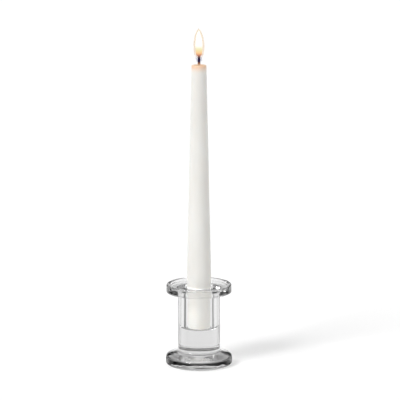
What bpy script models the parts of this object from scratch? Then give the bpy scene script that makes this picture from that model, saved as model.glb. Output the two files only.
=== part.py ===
# Pressed-glass candlestick holding a lit taper candle.
# Metres, +Z up. The origin is the centre of the foot, on the surface it stands on.
import math

import bpy

MM = 0.001
GAP = 0.3 * MM  # running gap between neighbouring pieces

# glass holder: foot, stem, socket and drip flange are one pressing
FOOT_RADIUS = 30.3 * MM
FOOT_TOP_HEIGHT = 11.0 * MM  # where the foot's slope runs into the stem fillet
FOOT_SLOPE = 20.0  # degrees down from level
FOOT_EDGE_ROUND = 2.2 * MM  # above and below the upright rim
FOOT_RING_RADIUS = 24.0 * MM  # inner edge of the flat ring that it stands on
FOOT_HOLLOW_DEPTH = 0.4 * MM
STEM_RADIUS = 19.2 * MM
FOOT_FILLET = 3.4 * MM  # between the stem and the foot
FLANGE_FILLET = 1.5 * MM  # between the stem and the flange
FLANGE_RADIUS = 29.8 * MM
FLANGE_UNDERSIDE = 66.8 * MM
HOLDER_HEIGHT = 74.3 * MM
FLANGE_EDGE_ROUND = 1.1 * MM
LIP_WIDTH = 3.4 * MM
LIP_INNER_ROUND = 0.9 * MM
DISH_DEPTH = 2.3 * MM
SOCKET_RADIUS = 12.0 * MM
SOCKET_FLOOR = 33.0 * MM
SOCKET_CORNER = 3.0 * MM
MOUTH_FILLET = 2.5 * MM

# taper candle, its wick and its flame
CANDLE_BASE = SOCKET_FLOOR + GAP
CANDLE_TOP = 275.0 * MM
CANDLE_FOOT_RADIUS = 10.2 * MM  # the drawn-in end that goes in the socket
CANDLE_RADIUS = 11.0 * MM
CANDLE_TOP_RADIUS = 6.75 * MM
TAPER_START = 84.0 * MM
DRAWN_END = 60.0 * MM
MELT_DEPTH = 1.4 * MM
WICK_RADIUS = 1.2 * MM
WICK_TOP = 284.0 * MM
FLAME_BASE = 277.0 * MM
FLAME_WIDEST = 292.0 * MM
FLAME_TIP = 307.0 * MM
FLAME_RADIUS = 5.0 * MM

HOLDER_STEPS = 48
CANDLE_STEPS = 40
WICK_STEPS = 16
FLAME_STEPS = 24
MERGE_DISTANCE = 0.00001


def arc(radius, height, size, start, end, pieces):
    """Points of a round corner whose centre is at radius and height, angles in degrees."""
    points = []
    for i in range(pieces + 1):
        angle = math.radians(start + (end - start) * i / pieces)
        points.append((radius + size * math.cos(angle), height + size * math.sin(angle)))
    return points


def holder_profile():
    """Half section from the socket floor, out over the flange and down to the foot's hollow."""
    mouth = HOLDER_HEIGHT - DISH_DEPTH
    lip_inside = FLANGE_RADIUS - LIP_WIDTH
    dish_corner = 0.6 * MM
    points = [(0.0, SOCKET_FLOOR)]
    points += arc(
        SOCKET_RADIUS - SOCKET_CORNER, SOCKET_FLOOR + SOCKET_CORNER, SOCKET_CORNER, -90, 0, 5
    )
    points += arc(
        SOCKET_RADIUS + MOUTH_FILLET, mouth - MOUTH_FILLET, MOUTH_FILLET, 180, 90, 5
    )
    points += arc(lip_inside - dish_corner, mouth + dish_corner, dish_corner, -90, 0, 3)
    points += arc(
        lip_inside + LIP_INNER_ROUND, HOLDER_HEIGHT - LIP_INNER_ROUND, LIP_INNER_ROUND, 180, 90, 3
    )
    edge = FLANGE_EDGE_ROUND
    points += arc(FLANGE_RADIUS - edge, HOLDER_HEIGHT - edge, edge, 90, 0, 4)
    points += arc(FLANGE_RADIUS - edge, FLANGE_UNDERSIDE + edge, edge, 0, -90, 4)
    points += arc(
        STEM_RADIUS + FLANGE_FILLET, FLANGE_UNDERSIDE - FLANGE_FILLET, FLANGE_FILLET, 90, 180, 4
    )
    # the stem runs down into a fillet, then the foot slopes away to its rounded rim
    slope = math.radians(FOOT_SLOPE)
    points += arc(
        STEM_RADIUS + FOOT_FILLET, FOOT_TOP_HEIGHT + FOOT_FILLET, FOOT_FILLET,
        180, 270 - FOOT_SLOPE, 6,
    )
    edge = FOOT_EDGE_ROUND
    run = FOOT_RADIUS - edge + edge * math.sin(slope) - STEM_RADIUS - FOOT_FILLET
    start = FOOT_TOP_HEIGHT + FOOT_FILLET - FOOT_FILLET / math.cos(slope)
    rim_height = start - run * math.tan(slope) - edge * math.cos(slope)
    points += arc(FOOT_RADIUS - edge, rim_height, edge, 90 - FOOT_SLOPE, 0, 5)
    points += arc(FOOT_RADIUS - edge, edge, edge, 0, -90, 5)
    # the hollow under the foot is a shallow dome
    for i in range(5):
        share = 1 - i / 4
        points.append(
            (FOOT_RING_RADIUS * share, FOOT_HOLLOW_DEPTH * (1 - share**2))
        )
    return points


def wax_profile():
    """Closed half section of the wax, with the hole that the wick runs through."""
    hole = WICK_RADIUS + GAP
    rim = 1.0 * MM
    base_corner = 1.0 * MM
    points = [(hole, CANDLE_TOP - MELT_DEPTH)]
    points += [(hole + 2.2 * MM, CANDLE_TOP - 1.1 * MM)]
    points += arc(CANDLE_TOP_RADIUS - rim, CANDLE_TOP - rim, rim, 120, 0, 5)
    points += [
        (CANDLE_RADIUS, TAPER_START),
        (CANDLE_RADIUS - 0.1 * MM, HOLDER_HEIGHT),
        (CANDLE_FOOT_RADIUS + 0.2 * MM, DRAWN_END),
    ]
    points += arc(
        CANDLE_FOOT_RADIUS - base_corner, CANDLE_BASE + base_corner, base_corner, 0, -90, 3
    )
    points += [(hole, CANDLE_BASE)]
    return points


def wick_profile():
    """Half section of the wick, blunt at its burnt tip."""
    return [
        (0.0, WICK_TOP),
        (WICK_RADIUS * 0.55, WICK_TOP - 0.3 * MM),
        (WICK_RADIUS * 0.8, WICK_TOP - 1.2 * MM),
        (WICK_RADIUS, WICK_TOP - 3.0 * MM),
        (WICK_RADIUS, CANDLE_BASE),
        (0.0, CANDLE_BASE),
    ]


def flame_radius(height):
    """Outer radius of the flame: blunt below its widest place, drawn out above it."""
    if height > FLAME_WIDEST:
        share = (height - FLAME_WIDEST) / (FLAME_TIP - FLAME_WIDEST)
        return FLAME_RADIUS * (1 - share**2) ** 0.7
    share = (FLAME_WIDEST - height) / (FLAME_WIDEST - FLAME_BASE)
    return FLAME_RADIUS * (1 - share**2) ** 0.45


def flame_profile():
    """Half section of the flame, hollow where it stands around the wick."""
    hollow = WICK_RADIUS + GAP
    levels = 18
    points = [(0.0, FLAME_TIP)]
    for i in range(1, levels):
        share = (1 - math.cos(math.pi * i / levels)) / 2  # closer together at both ends
        height = FLAME_TIP + (FLAME_BASE - FLAME_TIP) * share
        points.append((flame_radius(height), height))
    points += [(hollow, FLAME_BASE), (hollow, WICK_TOP + GAP), (0.0, WICK_TOP + GAP)]
    return points


def finish(name, colour, roughness, **inputs):
    """A Principled material, with any further shader inputs by name."""
    material = bpy.data.materials.new(name)
    material.use_nodes = True
    shader = material.node_tree.nodes["Principled BSDF"]
    shader.inputs["Base Color"].default_value = (*colour, 1.0)
    shader.inputs["Roughness"].default_value = roughness
    shader.inputs["Metallic"].default_value = 0.0
    for key, value in inputs.items():
        shader.inputs[key.replace("_", " ")].default_value = value
    return material


def turned(name, profile, steps, material, collection, parent=None, closed=False):
    """Turn a half section about the Z axis into one solid."""
    base = parent.location.z if parent else 0.0
    edges = [(i, i + 1) for i in range(len(profile) - 1)]
    if closed:
        edges.append((len(profile) - 1, 0))
    mesh = bpy.data.meshes.new(name)
    mesh.from_pydata([(r, 0.0, z - base) for r, z in profile], edges, [])
    mesh.materials.append(material)
    solid = bpy.data.objects.new(name, mesh)
    collection.objects.link(solid)
    solid.parent = parent
    screw = solid.modifiers.new("turn", "SCREW")
    screw.axis = "Z"
    screw.angle = 2 * math.pi
    screw.steps = steps
    screw.render_steps = steps
    screw.use_merge_vertices = True
    screw.merge_threshold = MERGE_DISTANCE
    screw.use_smooth_shade = True
    return solid


for old in list(bpy.data.objects):
    bpy.data.objects.remove(old, do_unlink=True)

parts = bpy.data.collections.new("glass_candlestick")
bpy.context.scene.collection.children.link(parts)

clear_glass = finish(
    "clear_pressed_glass", (0.95, 0.96, 0.96), 0.02, Transmission_Weight=1.0, IOR=1.51
)
ivory_wax = finish("ivory_wax", (0.87, 0.85, 0.80), 0.45)
braided_cotton = finish("braided_cotton", (0.05, 0.04, 0.035), 0.9)
burning_vapour = finish(
    "burning_vapour", (1.0, 0.86, 0.6), 0.6,
    Emission_Color=(1.0, 0.72, 0.35, 1.0), Emission_Strength=4.0, Alpha=0.6,
)

turned("glass_holder", holder_profile(), HOLDER_STEPS, clear_glass, parts)

# the candle lifts straight up out of the socket, so its own zero is on that line
candle = bpy.data.objects.new("candle", None)
candle.location = (0.0, 0.0, CANDLE_BASE)
parts.objects.link(candle)
bpy.context.view_layer.update()

turned("taper_wax", wax_profile(), CANDLE_STEPS, ivory_wax, parts, candle, closed=True)
turned("wick", wick_profile(), WICK_STEPS, braided_cotton, parts, candle)
turned("flame", flame_profile(), FLAME_STEPS, burning_vapour, parts, candle)
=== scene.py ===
import math

import bmesh
import bpy
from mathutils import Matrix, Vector, noise


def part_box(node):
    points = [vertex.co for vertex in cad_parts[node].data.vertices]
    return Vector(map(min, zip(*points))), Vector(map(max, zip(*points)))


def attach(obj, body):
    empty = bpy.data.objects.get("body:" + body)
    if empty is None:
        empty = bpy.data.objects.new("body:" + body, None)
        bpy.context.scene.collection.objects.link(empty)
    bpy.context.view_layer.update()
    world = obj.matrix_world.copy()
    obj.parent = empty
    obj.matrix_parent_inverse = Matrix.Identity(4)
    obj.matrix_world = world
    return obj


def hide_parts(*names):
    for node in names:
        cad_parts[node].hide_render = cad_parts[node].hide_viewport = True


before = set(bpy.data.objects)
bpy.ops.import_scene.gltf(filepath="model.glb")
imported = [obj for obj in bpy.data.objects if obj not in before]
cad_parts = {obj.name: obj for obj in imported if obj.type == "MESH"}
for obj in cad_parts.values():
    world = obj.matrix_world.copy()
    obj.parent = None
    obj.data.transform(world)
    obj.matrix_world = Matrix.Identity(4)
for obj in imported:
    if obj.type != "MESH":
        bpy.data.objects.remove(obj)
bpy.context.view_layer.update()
scene = bpy.context.scene
mm = 0.001


def hexToLinear(hexText):
    channels = [int(hexText[i:i + 2], 16) / 255 for i in (1, 3, 5)]
    linear = [c / 12.92 if c <= 0.04045 else ((c + 0.055) / 1.055) ** 2.4 for c in channels]
    return (*linear, 1.0)


# settings are the node's own fields, inputs go by name or number and take a value or a socket
def addNode(tree, kind, settings=None, inputs=None, stops=None):
    node = tree.nodes.new(kind)
    for field, value in (settings or {}).items():
        setattr(node, field, value)
    for key, value in (inputs or {}).items():
        if isinstance(value, bpy.types.NodeSocket):
            tree.links.new(value, node.inputs[key])
        else:
            node.inputs[key].default_value = value
    if stops:
        elements = node.color_ramp.elements
        while len(elements) < len(stops):
            elements.new(0.5)
        for element, (place, colour) in zip(elements, stops):
            element.position = place
            element.color = colour
    return node


def startMaterial(name):
    material = bpy.data.materials.new(name)
    material.use_nodes = True
    tree = material.node_tree
    tree.nodes.clear()
    return material, tree, addNode(tree, "ShaderNodeOutputMaterial")


def startGeometry(name, inputs):
    tree = bpy.data.node_groups.new(name, "GeometryNodeTree")
    kinds = {float: "NodeSocketFloat", int: "NodeSocketInt", bpy.types.Material: "NodeSocketMaterial"}
    for label, kind in inputs.items():
        tree.interface.new_socket(label, in_out="INPUT", socket_type=kinds[kind])
    tree.interface.new_socket("Geometry", in_out="OUTPUT", socket_type="NodeSocketGeometry")
    given = addNode(tree, "NodeGroupInput").outputs
    return tree, given


# runs a geometry tree once and keeps the plain mesh it makes
def meshFromTree(name, tree, values):
    carrier = bpy.data.objects.new(name, bpy.data.meshes.new(name))
    scene.collection.objects.link(carrier)
    modifier = carrier.modifiers.new("build", "NODES")
    modifier.node_group = tree
    for item in tree.interface.items_tree:
        if item.in_out == "INPUT":
            modifier[item.identifier] = values[item.name]
    bpy.context.view_layer.update()
    shape = carrier.evaluated_get(bpy.context.evaluated_depsgraph_get())
    mesh = bpy.data.meshes.new_from_object(shape)
    carrier.modifiers.remove(modifier)
    bpy.data.objects.remove(carrier)
    mesh.name = name
    return mesh


def roundCorner(radius, height, size, start, end, pieces):
    angles = [math.radians(start + (end - start) * i / pieces) for i in range(pieces + 1)]
    return [(radius + size * math.cos(a), height + size * math.sin(a)) for a in angles]


# long straight runs get points in between, so that the surface can waver
def evenly(points, gap):
    spread = [points[0]]
    for a, b in zip(points, points[1:]):
        parts = max(1, math.ceil(math.dist(a, b) / gap))
        for i in range(1, parts + 1):
            spread.append((a[0] + (b[0] - a[0]) * i / parts, a[1] + (b[1] - a[1]) * i / parts))
    return spread


def smooth(value, low, high):
    share = min(1.0, max(0.0, (value - low) / (high - low)))
    return share * share * (3 - 2 * share)


# turns a half section about Z; move gives each point a small (outward, upward) shift
def latheMesh(name, profile, steps, move, closed=False):
    mesh = bpy.data.meshes.new(name)
    bm = bmesh.new()
    rings = []
    for r, z in profile:
        if r < 1e-7:
            rings.append([bm.verts.new((0, 0, z))])
            continue
        ring = []
        for i in range(steps):
            angle = 2 * math.pi * i / steps
            out, up = move(r, angle, z)
            ring.append(bm.verts.new((
                (r + out) * math.cos(angle), (r + out) * math.sin(angle), z + up)))
        rings.append(ring)
    pairs = list(zip(rings, rings[1:]))
    if closed:
        pairs.append((rings[-1], rings[0]))
    for upper, lower in pairs:
        for i in range(steps):
            j = (i + 1) % steps
            corners = [upper[i % len(upper)], lower[i % len(lower)],
                       lower[j % len(lower)], upper[j % len(upper)]]
            bm.faces.new([v for n, v in enumerate(corners) if v not in corners[:n]])
    if bm.calc_volume(signed=True) < 0:
        bmesh.ops.reverse_faces(bm, faces=bm.faces)
    bm.to_mesh(mesh)
    bm.free()
    mesh.shade_smooth()
    return mesh


def addPiece(name, mesh, body, slotName, *nodes):
    piece = bpy.data.objects.new(name, mesh)
    scene.collection.objects.link(piece)
    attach(piece, body)
    if nodes:
        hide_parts(*nodes)


glassPlan = {
    "steps": 240,
    "footTop": 11.0 * mm,
    "footSlope": 20.0,
    "footEdge": 2.2 * mm,
    "footRing": 24.0 * mm,
    "footHollow": 0.4 * mm,
    "stemRadius": 19.2 * mm,
    "footFillet": 3.4 * mm,
    "flangeFillet": 1.5 * mm,
    "flangeUnderside": 66.8 * mm,
    "flangeRadius": 29.8 * mm,
    "flangeEdge": 1.1 * mm,
    "lipWidth": 3.4 * mm,
    "lipInner": 0.9 * mm,
    "dishDepth": 2.3 * mm,
    "socketRadius": 12.0 * mm,
    "socketFloor": 33.0 * mm,
    "socketCorner": 3.0 * mm,
    "mouthFillet": 2.5 * mm,
    "dishCorner": 0.6 * mm,
    "rowGap": 1.0 * mm,
    "waver": 0.05 * mm,  # fire-polished glass is never quite true
    "waverScale": 70,  # waves to the metre
    "ripple": 0.2 * mm,  # chill marks where the mould closed on the foot and the flange
    "rippleSpacing": 5.5 * mm,
    "footMarks": (11 * mm, 14 * mm),  # heights between which the marks fade out above the foot
    "flangeMarks": (64 * mm, 67 * mm),  # and in again towards the flange
    "outerMarks": (12 * mm, 15 * mm),  # the socket, inside this radius, has none
    "calmRadius": 8 * mm,  # the surface settles to true from here to the axis
    "tint": "#BCBCBC",
    "tintDepth": 11.0,
    "film": 0.03,  # how rough the handled patches are
}


def glassProfile(plan, foot, top):
    mouth = top - plan["dishDepth"]
    flange, under = plan["flangeRadius"], plan["flangeUnderside"]
    stem, fillet = plan["stemRadius"], plan["flangeFillet"]
    socket, corner, flare = plan["socketRadius"], plan["socketCorner"], plan["mouthFillet"]
    inner, inside, edge = plan["lipInner"], flange - plan["lipWidth"], plan["flangeEdge"]
    dish = plan["dishCorner"]
    points = [(0.0, plan["socketFloor"])]
    points += roundCorner(socket - corner, plan["socketFloor"] + corner, corner, -90, 0, 12)
    points += roundCorner(socket + flare, mouth - flare, flare, 180, 90, 12)
    points += roundCorner(inside - dish, mouth + dish, dish, -90, 0, 5)
    points += roundCorner(inside + inner, top - inner, inner, 180, 90, 6)
    points += roundCorner(flange - edge, top - edge, edge, 90, 0, 8)
    points += roundCorner(flange - edge, under + edge, edge, 0, -90, 8)
    points += roundCorner(stem + fillet, under - fillet, fillet, 90, 180, 8)
    # down the stem, through the fillet and out along the foot's slope to its rim
    slope, edge, fillet = math.radians(plan["footSlope"]), plan["footEdge"], plan["footFillet"]
    points += roundCorner(
        stem + fillet, plan["footTop"] + fillet, fillet, 180, 270 - plan["footSlope"], 8)
    run = foot - edge + edge * math.sin(slope) - stem - fillet
    start = plan["footTop"] + fillet - fillet / math.cos(slope)
    rim = start - run * math.tan(slope) - edge * math.cos(slope)
    points += roundCorner(foot - edge, rim, edge, 90 - plan["footSlope"], 0, 10)
    points += roundCorner(foot - edge, edge, edge, 0, -90, 10)
    for i in range(13):
        share = 1 - i / 12
        points.append((plan["footRing"] * share, plan["footHollow"] * (1 - share ** 2)))
    return points


def glassMaterial(plan):
    # pressed soda glass, fire-polished: clear and sharp at its skin, a breath of grey where it is thick
    material, tree, out = startMaterial("pressedSodaGlass")
    place = addNode(tree, "ShaderNodeTexCoord").outputs["Object"]
    # the fire polish leaves a faint orange peel 2.5 mm across, and handling a film in patches of 15 mm
    peel = addNode(tree, "ShaderNodeTexNoise", None, {
        "Vector": place, "Scale": 1 / (2.5 * mm), "Detail": 1.0})
    skin = addNode(tree, "ShaderNodeBump", None, {
        "Height": peel.outputs["Fac"], "Strength": 0.5, "Distance": 0.02 * mm})
    film = addNode(tree, "ShaderNodeTexNoise", None, {
        "Vector": place, "Scale": 1 / (15 * mm), "Detail": 4.0})
    haze = addNode(tree, "ShaderNodeMapRange", None, {
        "Value": film.outputs["Fac"], "From Min": 0.5, "From Max": 0.8,
        "To Min": 0.0, "To Max": plan["film"]})
    shader = addNode(tree, "ShaderNodeBsdfPrincipled", None, {
        "Base Color": (1, 1, 1, 1), "Roughness": haze.outputs[0], "IOR": 1.52,
        "Normal": skin.outputs[0], "Transmission Weight": 1.0})
    depth = addNode(tree, "ShaderNodeVolumeAbsorption", None, {
        "Color": hexToLinear(plan["tint"]), "Density": plan["tintDepth"]})
    tree.links.new(shader.outputs[0], out.inputs["Surface"])
    tree.links.new(depth.outputs[0], out.inputs["Volume"])
    return material


def makeGlass(plan):
    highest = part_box("glass_holder")[1]

    def move(r, angle, z):
        place = Vector((r * math.cos(angle), r * math.sin(angle), z))
        pressed = max(1 - smooth(z, *plan["footMarks"]), smooth(z, *plan["flangeMarks"]))
        pressed *= smooth(r, *plan["outerMarks"])
        out = plan["waver"] * noise.noise(place * plan["waverScale"])
        out += plan["ripple"] * pressed * noise.noise(place / plan["rippleSpacing"])
        return out * min(1, r / plan["calmRadius"]), 0.0

    profile = evenly(glassProfile(plan, highest.x, highest.z), plan["rowGap"])
    mesh = latheMesh("glassHolder", profile, plan["steps"], move)
    mesh.materials.append(glassMaterial(plan))
    addPiece("glassHolder", mesh, "holder", "clear_glass", "glass_holder")


makeGlass(glassPlan)
print("glass holder made")


waxPlan = {
    "steps": 120,
    "wickHole": 1.5 * mm,
    "drawnEnd": 60.0 * mm,
    "taperStart": 84.0 * mm,
    "footRadius": 10.2 * mm,
    "radius": 11.0 * mm,
    "topRadius": 6.75 * mm,
    "rim": 1.0 * mm,
    "meltDepth": 1.4 * mm,
    "bowlRun": 2.2 * mm,  # the floor of the bowl, out from the wick's hole
    "bowlDepth": 1.1 * mm,
    "rowGap": 3 * mm,
    "poolLevel": 0.75 * mm,  # below the rim
    "waver": 0.05 * mm,  # left by drawing the candle through its die
    "waverScale": (60, 25),  # waves to the metre, across and along
    "sag": 0.22 * mm,  # how unevenly the rim has sunk where it melted
    "sagReach": 2 * mm,
    "trueRadius": 3 * mm,  # the wick's hole, inside this radius, stays true
    "ivory": "#ECEBE7",
    "bloom": "#E5E3DE",  # the duller film that old stearin grows
    # painted glow: the flame's light through the wax, painted into the colour from warm to peach, this
    # far down from the top
    "paintedWarmth": "#F3E7DC",
    "glow": "#F1CDAE",
    "paintedGlowReach": 9.5 * mm,
    "poolColour": "#F7DDBB",
    "poolDeep": "#E9BE8C",  # beside the wick
    "poolReach": 5.0 * mm,
}


def waxMaterial(plan, top):
    # drawn stearin wax: satin and slightly see-through; near the flame the colour is painted warm, a
    # painted glow standing in for the flame's light through the wax
    material, tree, out = startMaterial("drawnStearinWax")
    place = addNode(tree, "ShaderNodeTexCoord").outputs["Object"]
    height = addNode(tree, "ShaderNodeSeparateXYZ", None, {"Vector": place}).outputs["Z"]
    # cloudy film, in patches 12 mm across that are drawn out along the candle
    long = addNode(tree, "ShaderNodeMapping", None, {"Vector": place, "Scale": (1.0, 1.0, 0.25)})
    film = addNode(tree, "ShaderNodeTexNoise", None, {
        "Vector": long.outputs[0], "Scale": 1 / (12 * mm), "Detail": 3.0, "Roughness": 0.5})
    filmed = addNode(tree, "ShaderNodeValToRGB", None, {"Fac": film.outputs["Fac"]}, [
        (0.35, hexToLinear(plan["ivory"])), (0.75, hexToLinear(plan["bloom"]))])
    # painted glow: towards the top the colour blends into peach for the flame's light
    nearFlame = addNode(tree, "ShaderNodeMapRange", {"interpolation_type": "SMOOTHSTEP"}, {
        "Value": height, "From Min": top - plan["paintedGlowReach"], "From Max": top})
    lit = addNode(tree, "ShaderNodeValToRGB", None, {"Fac": nearFlame.outputs[0]}, [
        (0.2, hexToLinear(plan["paintedWarmth"])), (1.0, hexToLinear(plan["glow"]))])
    colour = addNode(tree, "ShaderNodeMix", {"data_type": "RGBA"}, {
        "Factor": nearFlame.outputs[0], 6: filmed.outputs["Color"], 7: lit.outputs["Color"]})
    # die lines 0.9 mm apart round the candle, very shallow
    fine = addNode(tree, "ShaderNodeMapping", None, {"Vector": place, "Scale": (1.0, 1.0, 0.04)})
    lines = addNode(tree, "ShaderNodeTexNoise", None, {
        "Vector": fine.outputs[0], "Scale": 1 / (0.9 * mm), "Detail": 2.0})
    bump = addNode(tree, "ShaderNodeBump", None, {
        "Height": lines.outputs["Fac"], "Strength": 0.25, "Distance": 0.03 * mm})
    shine = addNode(tree, "ShaderNodeMapRange", None, {
        "Value": film.outputs["Fac"], "To Min": 0.36, "To Max": 0.52})
    shader = addNode(tree, "ShaderNodeBsdfPrincipled", None, {
        "Base Color": colour.outputs[2], "Roughness": shine.outputs[0], "IOR": 1.44,
        "Normal": bump.outputs[0], "Subsurface Weight": 0.5,
        "Subsurface Radius": (1.0, 0.9, 0.8), "Subsurface Scale": 2.0 * mm})
    tree.links.new(shader.outputs[0], out.inputs["Surface"])
    return material


def poolMaterial(plan):
    # molten wax: a wet, honey-clear puddle
    material, tree, out = startMaterial("moltenWax")
    place = addNode(tree, "ShaderNodeTexCoord").outputs["Object"]
    away = addNode(tree, "ShaderNodeVectorMath", {"operation": "MULTIPLY"}, {0: place, 1: (1, 1, 0)})
    far = addNode(tree, "ShaderNodeVectorMath", {"operation": "LENGTH"}, {0: away.outputs[0]})
    deep = addNode(tree, "ShaderNodeMapRange", None, {
        "Value": far.outputs["Value"], "From Min": plan["wickHole"],
        "From Max": plan["poolReach"]})
    colour = addNode(tree, "ShaderNodeValToRGB", None, {"Fac": deep.outputs[0]}, [
        (0.0, hexToLinear(plan["poolDeep"])), (1.0, hexToLinear(plan["poolColour"]))])
    shader = addNode(tree, "ShaderNodeBsdfPrincipled", None, {
        "Base Color": colour.outputs["Color"], "Roughness": 0.06, "IOR": 1.43,
        "Subsurface Weight": 0.3, "Subsurface Radius": (1.0, 0.8, 0.6), "Subsurface Scale": 1.0 * mm})
    tree.links.new(shader.outputs[0], out.inputs["Surface"])
    return material


def makeWax(plan):
    lowest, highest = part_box("taper_wax")
    top, base, rim, hole = highest.z, lowest.z, plan["rim"], plan["wickHole"]
    bowl = [(hole, top - plan["meltDepth"]), (hole + plan["bowlRun"], top - plan["bowlDepth"])]
    points = bowl + roundCorner(plan["topRadius"] - rim, top - rim, rim, 120, 0, 10)
    points += [(plan["radius"], plan["taperStart"]),
               (plan["radius"] - 0.1 * mm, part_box("glass_holder")[1].z),
               (plan["footRadius"] + 0.2 * mm, plan["drawnEnd"])]
    points += roundCorner(plan["footRadius"] - rim, base + rim, rim, 0, -90, 8)
    points += [(hole, base)]

    def move(r, angle, z):
        across, along = plan["waverScale"]
        place = Vector((r * math.cos(angle) * across, r * math.sin(angle) * across, z * along))
        outside = r > plan["trueRadius"]
        out = plan["waver"] * noise.noise(place) * outside
        melted = plan["sag"] * smooth(z, top - plan["sagReach"], top)
        return out, min(0.0, melted * (noise.noise(place * 3.0) - 0.6) * outside)

    mesh = latheMesh("taperWax", evenly(points, plan["rowGap"]), plan["steps"], move, closed=True)
    mesh.materials.append(waxMaterial(plan, top))
    addPiece("taperWax", mesh, "candle", "ivory_wax", "taper_wax")

    # the puddle climbs a little at the wick and at the rim
    level = top - plan["poolLevel"]
    puddle = [(hole - 0.1 * mm, level + 0.12 * mm), (hole + 0.3 * mm, level + 0.03 * mm),
              (hole + 1.0 * mm, level), (4.0 * mm, level), (4.7 * mm, level + 0.05 * mm),
              (5.1 * mm, level + 0.16 * mm), (4.6 * mm, level - 0.2 * mm),
              (hole + plan["bowlRun"], top - 1.14 * mm), (hole - 0.1 * mm, top - 1.36 * mm)]
    mesh = latheMesh("meltPool", puddle, plan["steps"], lambda r, angle, z: (0.0, 0.0), closed=True)
    mesh.materials.append(poolMaterial(plan))
    addPiece("meltPool", mesh, "candle", "ivory_wax")


makeWax(waxPlan)
print("wax and melt pool made")


wickPlan = {
    "strands": 3,
    "strandRadius": 0.50 * mm,
    "sideways": 0.82 * mm,
    "frontways": 0.40 * mm,
    "pitch": 4.2 * mm,
    "pointGap": 0.35 * mm,
    "burntLength": 3.0 * mm,
    "tipShare": 0.6,
    # height against the top of the wax, and what the flame has done to the cotton there; the orange at
    # the very top is the ember's glow, painted into the colour
    "burn": [(-1.0, "#EBDCC6"), (0.8, "#D3A27E"), (2.0, "#8A5B41"), (3.0, "#1E0F0A"),
             (6.8, "#0A0403"), (8.2, "#3B1A0C"), (9.0, "#A85F33")],
    # share of the way up that range, and the glow left there
    "ember": [(0.84, "#000000"), (0.93, "#6E3215"), (1.0, "#E58B45")],
    "yarn": 0.12 * mm,
}


def wickTree():
    tree, given = startGeometry("plaitedWick", {
        "Base": float, "Top": float, "Strands": int, "Strand Radius": float, "Sideways": float,
        "Frontways": float, "Pitch": float, "Points": int, "Burnt Length": float,
        "Tip Share": float, "Cotton": bpy.types.Material})
    start = addNode(tree, "ShaderNodeCombineXYZ", None, {"Z": given["Base"]})
    end = addNode(tree, "ShaderNodeCombineXYZ", None, {"Z": given["Top"]})
    line = addNode(tree, "GeometryNodeCurvePrimitiveLine", None, {
        "Start": start.outputs[0], "End": end.outputs[0]})
    dense = addNode(tree, "GeometryNodeResampleCurve", None, {
        "Curve": line.outputs[0], "Count": given["Points"]})
    strands = addNode(tree, "GeometryNodeDuplicateElements", {"domain": "SPLINE"}, {
        "Geometry": dense.outputs[0], "Amount": given["Strands"]})
    place = addNode(tree, "GeometryNodeInputPosition")
    height = addNode(tree, "ShaderNodeSeparateXYZ", None, {"Vector": place.outputs[0]}).outputs["Z"]
    turns = addNode(tree, "ShaderNodeMath", {"operation": "DIVIDE"}, {0: height, 1: given["Pitch"]})
    share = addNode(tree, "ShaderNodeMath", {"operation": "DIVIDE"}, {
        0: strands.outputs["Duplicate Index"], 1: given["Strands"]})
    both = addNode(tree, "ShaderNodeMath", {"operation": "ADD"}, {
        0: turns.outputs[0], 1: share.outputs[0]})
    angle = addNode(tree, "ShaderNodeMath", {"operation": "MULTIPLY"}, {
        0: both.outputs[0], 1: 2 * math.pi})
    double = addNode(tree, "ShaderNodeMath", {"operation": "MULTIPLY"}, {0: angle.outputs[0], 1: 2.0})
    sway = addNode(tree, "ShaderNodeMath", {"operation": "SINE"}, {0: angle.outputs[0]})
    cross = addNode(tree, "ShaderNodeMath", {"operation": "SINE"}, {0: double.outputs[0]})
    x = addNode(tree, "ShaderNodeMath", {"operation": "MULTIPLY"}, {
        0: sway.outputs[0], 1: given["Sideways"]})
    y = addNode(tree, "ShaderNodeMath", {"operation": "MULTIPLY"}, {
        0: cross.outputs[0], 1: given["Frontways"]})
    # the burnt end draws in to a blunt point
    burnt = addNode(tree, "ShaderNodeMath", {"operation": "SUBTRACT"}, {
        0: given["Top"], 1: given["Burnt Length"]})
    thin = addNode(tree, "ShaderNodeMapRange", {"interpolation_type": "SMOOTHSTEP"}, {
        "Value": height, "From Min": burnt.outputs[0], "From Max": given["Top"],
        "To Min": 1.0, "To Max": given["Tip Share"]})
    shift = addNode(tree, "ShaderNodeCombineXYZ", None, {"X": x.outputs[0], "Y": y.outputs[0]})
    drawn = addNode(tree, "ShaderNodeVectorMath", {"operation": "SCALE"}, {
        0: shift.outputs[0], "Scale": thin.outputs[0]})
    woven = addNode(tree, "GeometryNodeSetPosition", None, {
        "Geometry": strands.outputs[0], "Offset": drawn.outputs[0]})
    sized = addNode(tree, "GeometryNodeSetCurveRadius", None, {
        "Curve": woven.outputs[0], "Radius": thin.outputs[0]})
    section = addNode(tree, "GeometryNodeCurvePrimitiveCircle", None, {
        "Resolution": 8, "Radius": given["Strand Radius"]})
    solid = addNode(tree, "GeometryNodeCurveToMesh", None, {
        "Curve": sized.outputs[0], "Profile Curve": section.outputs[0], "Fill Caps": True})
    soft = addNode(tree, "GeometryNodeSetShadeSmooth", None, {0: solid.outputs[0]})
    real = addNode(tree, "GeometryNodeRealizeInstances", None, {0: soft.outputs[0]})
    made = addNode(tree, "GeometryNodeSetMaterial", None, {
        0: real.outputs[0], "Material": given["Cotton"]})
    addNode(tree, "NodeGroupOutput", None, {0: made.outputs[0]})
    return tree


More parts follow.
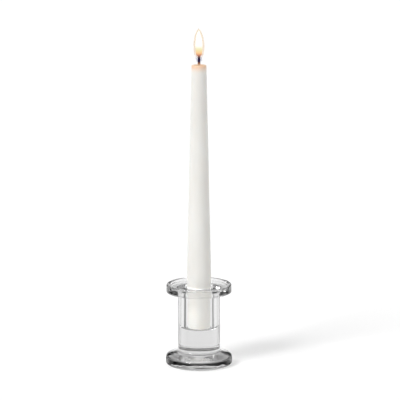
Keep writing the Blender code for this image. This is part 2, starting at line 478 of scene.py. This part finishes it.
def wickMaterial(plan, waxTop):
    # plaited cotton, waxed below and charred above, with its ember just alive at the tip
    material, tree, out = startMaterial("charredCotton")
    place = addNode(tree, "ShaderNodeTexCoord").outputs["Object"]
    height = addNode(tree, "ShaderNodeSeparateXYZ", None, {"Vector": place}).outputs["Z"]
    low, high = plan["burn"][0][0], plan["burn"][-1][0]
    # the char creeps up and down by a fraction of a millimetre round the wick
    patch = addNode(tree, "ShaderNodeTexNoise", None, {"Vector": place, "Scale": 1 / (1.1 * mm)})
    creep = addNode(tree, "ShaderNodeMapRange", None, {
        "Value": patch.outputs["Fac"], "To Min": -0.4 * mm, "To Max": 0.4 * mm})
    ragged = addNode(tree, "ShaderNodeMath", {"operation": "ADD"}, {0: height, 1: creep.outputs[0]})
    along = addNode(tree, "ShaderNodeMapRange", None, {
        "Value": ragged.outputs[0], "From Min": waxTop + low * mm, "From Max": waxTop + high * mm})
    stops = [((at - low) / (high - low), hexToLinear(shade)) for at, shade in plan["burn"]]
    colour = addNode(tree, "ShaderNodeValToRGB", None, {"Fac": along.outputs[0]}, stops)
    ember = addNode(tree, "ShaderNodeValToRGB", None, {"Fac": along.outputs[0]}, [
        (at, hexToLinear(shade)) for at, shade in plan["ember"]])
    # fine yarn, laid round each strand
    yarn = addNode(tree, "ShaderNodeTexWave", {"bands_direction": "DIAGONAL"}, {
        "Vector": place, "Scale": 1 / (20 * plan["yarn"]), "Distortion": 3.0})
    bump = addNode(tree, "ShaderNodeBump", None, {
        "Height": yarn.outputs["Fac"], "Strength": 0.6, "Distance": 0.06 * mm})
    shader = addNode(tree, "ShaderNodeBsdfPrincipled", None, {
        "Base Color": colour.outputs["Color"], "Roughness": 0.9, "Normal": bump.outputs[0],
        "Emission Color": ember.outputs["Color"], "Emission Strength": 1.0})
    tree.links.new(shader.outputs[0], out.inputs["Surface"])
    return material


def makeWick(plan):
    lowest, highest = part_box("wick")
    mesh = meshFromTree("plaitedWick", wickTree(), {
        "Base": lowest.z, "Top": highest.z - 0.1 * mm, "Strands": plan["strands"],
        "Strand Radius": plan["strandRadius"], "Sideways": plan["sideways"],
        "Frontways": plan["frontways"], "Pitch": plan["pitch"],
        "Points": int((highest.z - lowest.z) / plan["pointGap"]),
        "Burnt Length": plan["burntLength"], "Tip Share": plan["tipShare"],
        "Cotton": wickMaterial(plan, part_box("taper_wax")[1].z)})
    addPiece("plaitedWick", mesh, "candle", "braided_cotton", "wick")


makeWick(wickPlan)
print("wick plaited")


# heights in mm above the top of the wax; each layer of the flame is one shell of the same tree
flamePlan = {
    "steps": 48,
    "rows": 40,
    "lean": -0.3 * mm,  # the tip drifts this far to one side
    "layers": {
        "flameHaze": {
            "base": 4.5, "widest": 16.0, "tip": 33.2, "radius": 5.4, "blunt": 0.45, "drawn": 0.75,
            "strength": 1.0,
            "colours": [(4.5, "#E9C79A"), (33.2, "#E3B960")],
            "cover": [(5.5, 0.0), (9.5, 0.08), (28.0, 0.10), (31.0, 0.07), (33.2, 0.03)],
        },
        "flameMantle": {
            "base": 4.5, "widest": 16.0, "tip": 32.5, "radius": 4.75, "blunt": 0.45, "drawn": 0.75,
            "strength": 1.0,
            "colours": [(4.5, "#E3B48A"), (33.0, "#E3B960")],
            "cover": [(5.5, 0.0), (9.5, 0.19), (28.0, 0.21), (32.5, 0.16)],
        },
        "flameCore": {
            "base": 6.5, "widest": 17.5, "tip": 30.5, "radius": 3.15, "blunt": 0.32, "drawn": 0.7,
            "strength": 1.4,
            "colours": [(8.4, "#953E40"), (9.5, "#C28462"), (10.4, "#DFB080"), (11.4, "#E2C092"),
                        (13.2, "#DAD3A3"), (15.1, "#DDE2C6"), (17.5, "#FFFFFF")],
            "cover": [(7.0, 0.0), (8.4, 0.45), (9.6, 0.9), (10.6, 1.0), (30.5, 1.0)],
        },
        "flameCup": {
            "base": 1.9, "widest": 5.2, "tip": 10.0, "radius": 2.9, "blunt": 0.5, "drawn": 0.6,
            "strength": 1.0,
            "colours": [(1.9, "#3C2F8A"), (6.5, "#4A3A86"), (10.0, "#C08A78")],
            "cover": [(1.9, 0.10), (4.5, 0.22), (7.0, 0.15), (10.0, 0.0)],
        },
    },
}


def flameTree():
    tree, given = startGeometry("flameShell", {
        "Base": float, "Widest": float, "Tip": float, "Radius": float, "Blunt": float,
        "Drawn": float, "Lean": float, "Steps": int, "Rows": int, "Vapour": bpy.types.Material})
    tube = addNode(tree, "GeometryNodeMeshCylinder", {"fill_type": "NONE"}, {
        "Vertices": given["Steps"], "Side Segments": given["Rows"], "Radius": 1.0, "Depth": 1.0})
    place = addNode(tree, "GeometryNodeInputPosition")
    parts = addNode(tree, "ShaderNodeSeparateXYZ", None, {"Vector": place.outputs[0]})
    along = addNode(tree, "ShaderNodeMath", {"operation": "ADD"}, {0: parts.outputs["Z"], 1: 0.5})
    # rows stand closer together at both ends
    half = addNode(tree, "ShaderNodeMath", {"operation": "MULTIPLY"}, {0: along.outputs[0], 1: math.pi})
    wave = addNode(tree, "ShaderNodeMath", {"operation": "COSINE"}, {0: half.outputs[0]})
    share = addNode(tree, "ShaderNodeMath", {"operation": "MULTIPLY_ADD"}, {
        0: wave.outputs[0], 1: -0.5, 2: 0.5})
    height = addNode(tree, "ShaderNodeMapRange", None, {
        "Value": share.outputs[0], "To Min": given["Base"], "To Max": given["Tip"]})
    # share of the way from the widest place to whichever end is nearer
    upward = addNode(tree, "ShaderNodeMapRange", None, {
        "Value": height.outputs[0], "From Min": given["Widest"], "From Max": given["Tip"]})
    downward = addNode(tree, "ShaderNodeMapRange", None, {
        "Value": height.outputs[0], "From Min": given["Widest"], "From Max": given["Base"]})
    above = addNode(tree, "ShaderNodeMath", {"operation": "GREATER_THAN"}, {
        0: height.outputs[0], 1: given["Widest"]})
    reach = addNode(tree, "ShaderNodeMath", {"operation": "MAXIMUM"}, {
        0: upward.outputs[0], 1: downward.outputs[0]})
    power = addNode(tree, "ShaderNodeMix", None, {
        0: above.outputs[0], 2: given["Blunt"], 3: given["Drawn"]})
    square = addNode(tree, "ShaderNodeMath", {"operation": "MULTIPLY"}, {
        0: reach.outputs[0], 1: reach.outputs[0]})
    left = addNode(tree, "ShaderNodeMath", {"operation": "SUBTRACT"}, {0: 1.0, 1: square.outputs[0]})
    safe = addNode(tree, "ShaderNodeMath", {"operation": "MAXIMUM"}, {0: left.outputs[0], 1: 0.0})
    fullness = addNode(tree, "ShaderNodeMath", {"operation": "POWER"}, {
        0: safe.outputs[0], 1: power.outputs[0]})
    radius = addNode(tree, "ShaderNodeMath", {"operation": "MULTIPLY"}, {
        0: fullness.outputs[0], 1: given["Radius"]})
    bend = addNode(tree, "ShaderNodeMath", {"operation": "MULTIPLY"}, {
        0: share.outputs[0], 1: share.outputs[0]})
    x = addNode(tree, "ShaderNodeMath", {"operation": "MULTIPLY"}, {
        0: parts.outputs["X"], 1: radius.outputs[0]})
    y = addNode(tree, "ShaderNodeMath", {"operation": "MULTIPLY"}, {
        0: parts.outputs["Y"], 1: radius.outputs[0]})
    leaning = addNode(tree, "ShaderNodeMath", {"operation": "MULTIPLY_ADD"}, {
        0: bend.outputs[0], 1: given["Lean"], 2: x.outputs[0]})
    target = addNode(tree, "ShaderNodeCombineXYZ", None, {
        "X": leaning.outputs[0], "Y": y.outputs[0], "Z": height.outputs[0]})
    shaped = addNode(tree, "GeometryNodeSetPosition", None, {
        "Geometry": tube.outputs[0], "Position": target.outputs[0]})
    closed = addNode(tree, "GeometryNodeMergeByDistance", None, {
        0: shaped.outputs[0], "Distance": 0.001 * mm})
    soft = addNode(tree, "GeometryNodeSetShadeSmooth", None, {0: closed.outputs[0]})
    real = addNode(tree, "GeometryNodeRealizeInstances", None, {0: soft.outputs[0]})
    made = addNode(tree, "GeometryNodeSetMaterial", None, {
        0: real.outputs[0], "Material": given["Vapour"]})
    addNode(tree, "NodeGroupOutput", None, {0: made.outputs[0]})
    return tree


def vapourMaterial(name, layer, waxTop):
    # burning wax vapour: no skin and no gloss, only a coloured glow that thins out
    material, tree, out = startMaterial(name)
    place = addNode(tree, "ShaderNodeTexCoord").outputs["Object"]
    height = addNode(tree, "ShaderNodeSeparateXYZ", None, {"Vector": place}).outputs["Z"]
    low, high = layer["base"], layer["tip"]
    along = addNode(tree, "ShaderNodeMapRange", None, {
        "Value": height, "From Min": waxTop + low * mm, "From Max": waxTop + high * mm})
    colours = [((at - low) / (high - low), hexToLinear(c)) for at, c in layer["colours"]]
    cover = [((at - low) / (high - low), (c, c, c, 1)) for at, c in layer["cover"]]
    glow = addNode(tree, "ShaderNodeValToRGB", None, {"Fac": along.outputs[0]}, colours)
    dense = addNode(tree, "ShaderNodeValToRGB", None, {"Fac": along.outputs[0]}, cover)
    shader = addNode(tree, "ShaderNodeBsdfPrincipled", None, {
        "Base Color": (0, 0, 0, 1), "Roughness": 1.0, "IOR": 1.0, "Specular IOR Level": 0.0,
        "Emission Color": glow.outputs["Color"], "Emission Strength": layer["strength"],
        "Alpha": dense.outputs["Color"]})
    tree.links.new(shader.outputs[0], out.inputs["Surface"])
    return material


def makeFlame(plan):
    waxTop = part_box("taper_wax")[1].z
    tree = flameTree()
    for name, layer in plan["layers"].items():
        mesh = meshFromTree(name, tree, {
            "Base": waxTop + layer["base"] * mm, "Widest": waxTop + layer["widest"] * mm,
            "Tip": waxTop + layer["tip"] * mm, "Radius": layer["radius"] * mm,
            "Blunt": layer["blunt"], "Drawn": layer["drawn"], "Lean": plan["lean"],
            "Steps": plan["steps"], "Rows": plan["rows"],
            "Vapour": vapourMaterial(name + "Vapour", layer, waxTop)})
        addPiece(name, mesh, "candle", "flame", "flame")


makeFlame(flamePlan)
print("flame made, one shell for each layer")


stagePlan = {
    "cameraDistance": 1.8,
    "cameraHeight": 0.482,
    "aimHeight": 0.152,
    "aimSide": 0.9 * mm,
    "lens": 181.8,
    "paper": "#FBFBFB",
    "paperReach": 20,  # metres from the foot to each edge
    "paperHeight": -0.3 * mm,
    "litHeight": -0.1 * mm,
    "keyWay": (-0.74, -0.67, 0.8),
    "keyStrength": 1.5,
    "keyAngle": 20.0,  # how wide the softbox looks from the table, in degrees
    "softLight": (0.0, 1.15),  # on the wax and the paper, from the horizon to overhead
    # painted light: how brightly the sheet the glass sees glows to bounced rays
    "paperGlow": 0.72,
    "glassLight": 0.95,  # the same two for what stands inside the glass
    "glassPaperGlow": 1.05,
    "fromLeft": 0.1,
    # from here on, what the glass mirrors and bends: white low down and overhead, dark in between
    "white": 0.95,
    "lowBand": (0.12, 0.17),
    "overhead": (0.35, 0.40),
    # painted shade of the foot on the sheet the glass sees
    "paintedShadeRing": (31 * mm, 3 * mm, 5 * mm),  # radius, then how far to each side it is dark and fades
    "paintedShadeLevel": 0.1,
    "leftFlag": 0.1,
    "rightFlag": 0.35,
    "flagFade": (0.78, 0.88),  # how far to the side, as a share of the way out
    "flagEnd": (0.93, 0.97),
    "frontLevel": 0.5,
    "frontFade": (-0.4, 0.2),
    "bounces": 32,  # light rattles about inside solid glass
    "mirrorBounces": 24,
}


def makeCamera(plan):
    camera = bpy.data.objects.new("camera", bpy.data.cameras.new("camera"))
    scene.collection.objects.link(camera)
    camera.location = (plan["aimSide"], -plan["cameraDistance"], plan["cameraHeight"])
    aim = Vector((plan["aimSide"], 0, plan["aimHeight"])) - camera.location
    camera.rotation_euler = aim.to_track_quat("-Z", "Y").to_euler()
    camera.data.lens = plan["lens"]
    camera.data.clip_end = 100
    scene.camera = camera


# a narrow dark flag to each side and a dimmer front, which draw the upright edges of the glass
def studioFlags(tree, parts, plan):
    flat = addNode(tree, "ShaderNodeCombineXYZ", None, {
        "X": parts.outputs["X"], "Y": parts.outputs["Y"]})
    unit = addNode(tree, "ShaderNodeVectorMath", {"operation": "NORMALIZE"}, {0: flat.outputs[0]})
    turned = addNode(tree, "ShaderNodeSeparateXYZ", None, {"Vector": unit.outputs[0]})
    near, far = plan["flagFade"]
    left = addNode(tree, "ShaderNodeMapRange", {"interpolation_type": "SMOOTHSTEP"}, {
        "Value": turned.outputs["X"], "From Min": -far, "From Max": -near,
        "To Min": plan["leftFlag"], "To Max": 1.0})
    right = addNode(tree, "ShaderNodeMapRange", {"interpolation_type": "SMOOTHSTEP"}, {
        "Value": turned.outputs["X"], "From Min": near, "From Max": far,
        "To Min": 1.0, "To Max": plan["rightFlag"]})
    front = addNode(tree, "ShaderNodeMapRange", {"interpolation_type": "SMOOTHSTEP"}, {
        "Value": turned.outputs["Y"], "From Min": plan["frontFade"][0], "From Max": plan["frontFade"][1],
        "To Min": plan["frontLevel"], "To Max": 1.0})
    sides = addNode(tree, "ShaderNodeMath", {"operation": "MULTIPLY"}, {
        0: left.outputs[0], 1: right.outputs[0]})
    # the flags are narrow, so white shows again beyond them
    sideways = addNode(tree, "ShaderNodeMath", {"operation": "ABSOLUTE"}, {0: turned.outputs["X"]})
    beyond = addNode(tree, "ShaderNodeMapRange", {"interpolation_type": "SMOOTHSTEP"}, {
        "Value": sideways.outputs[0], "From Min": plan["flagEnd"][0], "From Max": plan["flagEnd"][1]})
    opened = addNode(tree, "ShaderNodeMath", {"operation": "MAXIMUM"}, {
        0: sides.outputs[0], 1: beyond.outputs[0]})
    return addNode(tree, "ShaderNodeMath", {"operation": "MULTIPLY"}, {
        0: opened.outputs[0], 1: front.outputs[0]})


# what has happened to a ray: whether it lights a surface, and whether it does so through the glass
def rayKinds(tree):
    path = addNode(tree, "ShaderNodeLightPath")
    bounced = addNode(tree, "ShaderNodeMath", {"operation": "GREATER_THAN"}, {
        0: path.outputs["Diffuse Depth"], 1: 0.5})
    inGlass = addNode(tree, "ShaderNodeMath", {"operation": "GREATER_THAN"}, {
        0: path.outputs["Transmission Depth"], 1: 0.5})
    return path, bounced, inGlass


def makeFloor(plan):
    def sheet(name, height):
        mesh = bpy.data.meshes.new(name)
        reach = plan["paperReach"]
        corners = [(-reach, -reach), (reach, -reach), (reach, reach), (-reach, reach)]
        mesh.from_pydata([(x, y, height) for x, y in corners], [], [(0, 1, 2, 3)])
        paper = bpy.data.objects.new(name, mesh)
        scene.collection.objects.link(paper)
        return paper

    floor = sheet("paperSweep", plan["paperHeight"])
    material, tree, out = startMaterial("paperSweep")
    shader = addNode(tree, "ShaderNodeBsdfPrincipled", None, {
        "Base Color": hexToLinear(plan["paper"]), "Roughness": 0.9, "Specular IOR Level": 0.0})
    tree.links.new(shader.outputs[0], out.inputs["Surface"])
    floor.data.materials.append(material)
    floor.visible_glossy = False
    floor.visible_transmission = False

    # what the glass sees of the paper: a sheet that glows in place of evenly lit paper, apart from the
    # flags and the foot's shade, which is painted on
    lit = sheet("litSheet", plan["litHeight"])
    lit.visible_camera = False
    lit.visible_diffuse = False
    lit.visible_shadow = False
    material, tree, out = startMaterial("litSheet")
    material.cycles.emission_sampling = "NONE"
    place = addNode(tree, "ShaderNodeTexCoord").outputs["Object"]
    away = addNode(tree, "ShaderNodeVectorMath", {"operation": "LENGTH"}, {0: place})
    # painted shade: the sheet's glow is darkened in a ring round the foot's edge, for the foot's shade
    # on the paper
    middle, inner, outer = plan["paintedShadeRing"]
    beside = addNode(tree, "ShaderNodeMath", {"operation": "SUBTRACT"}, {
        0: away.outputs["Value"], 1: middle})
    gap = addNode(tree, "ShaderNodeMath", {"operation": "ABSOLUTE"}, {0: beside.outputs[0]})
    contact = addNode(tree, "ShaderNodeMapRange", {"interpolation_type": "SMOOTHSTEP"}, {
        "Value": gap.outputs[0], "From Min": inner, "From Max": outer,
        "To Min": plan["paintedShadeLevel"], "To Max": plan["white"]})
    parts = addNode(tree, "ShaderNodeSeparateXYZ", None, {"Vector": place})
    seen = addNode(tree, "ShaderNodeMath", {"operation": "MULTIPLY"}, {
        0: contact.outputs[0], 1: studioFlags(tree, parts, plan).outputs[0]})
    # painted light: to rays that have bounced off a surface the sheet glows evenly, brighter for what
    # stands inside the glass
    bounced, inGlass = rayKinds(tree)[1:]
    given = addNode(tree, "ShaderNodeMix", None, {
        0: inGlass.outputs[0], 2: plan["paperGlow"], 3: plan["glassPaperGlow"]})
    strength = addNode(tree, "ShaderNodeMix", None, {
        0: bounced.outputs[0], 2: seen.outputs[0], 3: given.outputs[0]})
    glow = addNode(tree, "ShaderNodeEmission", None, {"Strength": strength.outputs[0]})
    tree.links.new(glow.outputs[0], out.inputs["Surface"])
    lit.data.materials.append(material)


def makeLight(plan):
    # for the glass: white low down, a dark gap, and white overhead; the gap draws its level edges
    world = bpy.data.worlds.new("studio")
    scene.world = world
    world.use_nodes = True
    tree = world.node_tree
    tree.nodes.clear()
    out = addNode(tree, "ShaderNodeOutputWorld")
    way = addNode(tree, "ShaderNodeTexCoord").outputs["Generated"]
    parts = addNode(tree, "ShaderNodeSeparateXYZ", None, {"Vector": way})
    height = parts.outputs["Z"]
    low = addNode(tree, "ShaderNodeMapRange", {"interpolation_type": "SMOOTHSTEP"}, {
        "Value": height, "From Min": plan["lowBand"][0], "From Max": plan["lowBand"][1],
        "To Min": plan["white"], "To Max": 0.0})
    over = addNode(tree, "ShaderNodeMapRange", {"interpolation_type": "SMOOTHSTEP"}, {
        "Value": height, "From Min": plan["overhead"][0], "From Max": plan["overhead"][1],
        "To Min": 0.0, "To Max": plan["white"]})
    flagged = addNode(tree, "ShaderNodeMath", {"operation": "MULTIPLY"}, {
        0: low.outputs[0], 1: studioFlags(tree, parts, plan).outputs[0]})
    seen = addNode(tree, "ShaderNodeMath", {"operation": "ADD"}, {
        0: flagged.outputs[0], 1: over.outputs[0]})
    path, bounced, inGlass = rayKinds(tree)
    soft = addNode(tree, "ShaderNodeMapRange", None, {
        "Value": height, "To Min": plan["softLight"][0], "To Max": plan["softLight"][1]})
    level = addNode(tree, "ShaderNodeMix", None, {
        0: inGlass.outputs[0], 2: soft.outputs[0], 3: plan["glassLight"]})
    sideways = addNode(tree, "ShaderNodeMapRange", None, {
        "Value": parts.outputs["X"], "From Min": -1.0, "From Max": 1.0,
        "To Min": 1 + plan["fromLeft"], "To Max": 1 - plan["fromLeft"]})
    softened = addNode(tree, "ShaderNodeMath", {"operation": "MULTIPLY"}, {
        0: level.outputs[0], 1: sideways.outputs[0]})
    lit = addNode(tree, "ShaderNodeMix", None, {
        0: bounced.outputs[0], 2: seen.outputs[0], 3: softened.outputs[0]})
    behind = addNode(tree, "ShaderNodeMix", None, {
        0: path.outputs["Is Camera Ray"], 2: lit.outputs[0], 3: 1.0})
    background = addNode(tree, "ShaderNodeBackground", None, {
        "Color": (1, 1, 1, 1), "Strength": behind.outputs[0]})
    tree.links.new(background.outputs[0], out.inputs["Surface"])

    key = bpy.data.objects.new("softbox", bpy.data.lights.new("softbox", "SUN"))
    scene.collection.objects.link(key)
    key.data.energy = plan["keyStrength"]
    key.data.angle = math.radians(plan["keyAngle"])
    key.rotation_euler = (-Vector(plan["keyWay"])).to_track_quat("-Z", "Y").to_euler()

    scene.view_settings.view_transform = "Standard"
    scene.cycles.max_bounces = plan["bounces"]
    scene.cycles.glossy_bounces = plan["mirrorBounces"]
    scene.cycles.transmission_bounces = plan["bounces"]
    scene.cycles.transparent_max_bounces = plan["bounces"]
    scene.cycles.blur_glossy = 0
    scene.cycles.sample_clamp_indirect = 0


makeCamera(stagePlan)
makeFloor(stagePlan)
makeLight(stagePlan)
print("camera, floor and light made")
